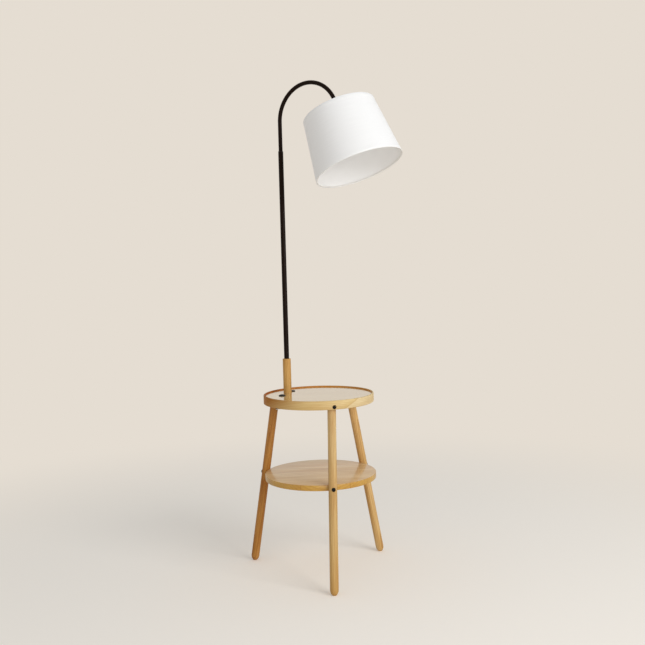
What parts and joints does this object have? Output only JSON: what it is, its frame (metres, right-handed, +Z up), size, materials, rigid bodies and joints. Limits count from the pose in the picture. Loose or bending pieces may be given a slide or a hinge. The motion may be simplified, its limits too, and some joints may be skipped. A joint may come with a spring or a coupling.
{
  "type": "floor lamp with table",
  "caption": "Floor lamp on a three-legged wooden tray table with a lower shelf; a steel pole and swivelling arc carry a tapered drum shade.",
  "frame": {"origin": "on the floor under the centre of the round table, level with the three feet", "axes": "+Z up; +X to the viewer's right and -Y towards the viewer of the picture"},
  "size_m": [0.5129, 0.4302, 1.5428],
  "materials": {
    "light_wood": "satin lacquer over straight grain",
    "leg_wood": "satin lacquer, stained a little darker",
    "panel_lacquer": "high-gloss lacquer",
    "black_bolt": "satin black",
    "pole_paint": "satin dark bronze",
    "steel": "zinc plated",
    "brass": "turned",
    "nylon": "natural",
    "black_plastic": "matt",
    "white_plastic": "smooth",
    "white_wire": "white powder coat",
    "shade_fabric": "fine linen weave on a stiff white lining",
    "bulb_glass": "soft white, frosted inside",
    "fitting_face": "satin",
    "circuit_board": "solder mask",
    "lead_sheath": "smooth"
  },
  "bodies": {
    "table": {"rim": "light_wood", "top_panel": "panel_lacquer", "support_blocks": "leg_wood", "block_screws": "steel", "leg_front": "leg_wood", "leg_right": "leg_wood", "leg_left": "leg_wood", "shelf": "light_wood", "rim_bolts": "black_bolt", "rim_inserts": "brass", "shelf_bolts": "black_bolt", "shelf_inserts": "brass", "wooden_post": "light_wood", "tie_tube": "steel", "base_washer": "steel", "base_nut": "steel", "pole_plug": "steel", "lower_pole": "pole_paint", "lower_bush": "nylon", "upper_bush": "black_plastic", "switch_bezel": "black_plastic", "switch_nut": "steel", "switch_body": "black_plastic", "port_bezel": "black_plastic", "port_nut": "steel", "port_socket": "fitting_face", "charger_board": "circuit_board", "terminal_block": "white_plastic", "wiring_cover": "black_plastic", "cover_screws": "steel", "cable_gland": "black_plastic", "gland_nut": "black_plastic", "lead_lower": "lead_sheath"},
    "lamp_head": {"arc_tube": "pole_paint", "end_ferrule": "pole_paint", "tube_nipple": "steel", "socket_cap": "white_plastic", "socket_shell": "white_plastic", "socket_core": "white_plastic", "screw_sleeve": "brass", "centre_contact": "brass", "shade_ring_nut": "white_plastic", "shade_fitter": "white_wire", "shade_bottom_ring": "white_wire", "shade_skin": "shade_fabric", "bulb_cap": "steel", "bulb_insulator": "black_plastic", "bulb_contact": "steel", "bulb_glass": "bulb_glass", "lead_upper": "lead_sheath"},
    "push_button": {"switch_button": "fitting_face"}
  },
  "joints": [
    {"name": "arc_swivel", "type": "hinge", "parent": "table", "child": "lamp_head", "pos_m": [-0.10103, 0.04477, 1.3], "axis": [0, 0, 1], "range_deg": [-150, 150]},
    {"name": "switch_press", "type": "slide", "parent": "table", "child": "push_button", "axis": [0, 0, -1], "range_m": [0, 0.0015], "stiffness_N_per_m": 1000, "springref_m": -0.001}
  ]
}
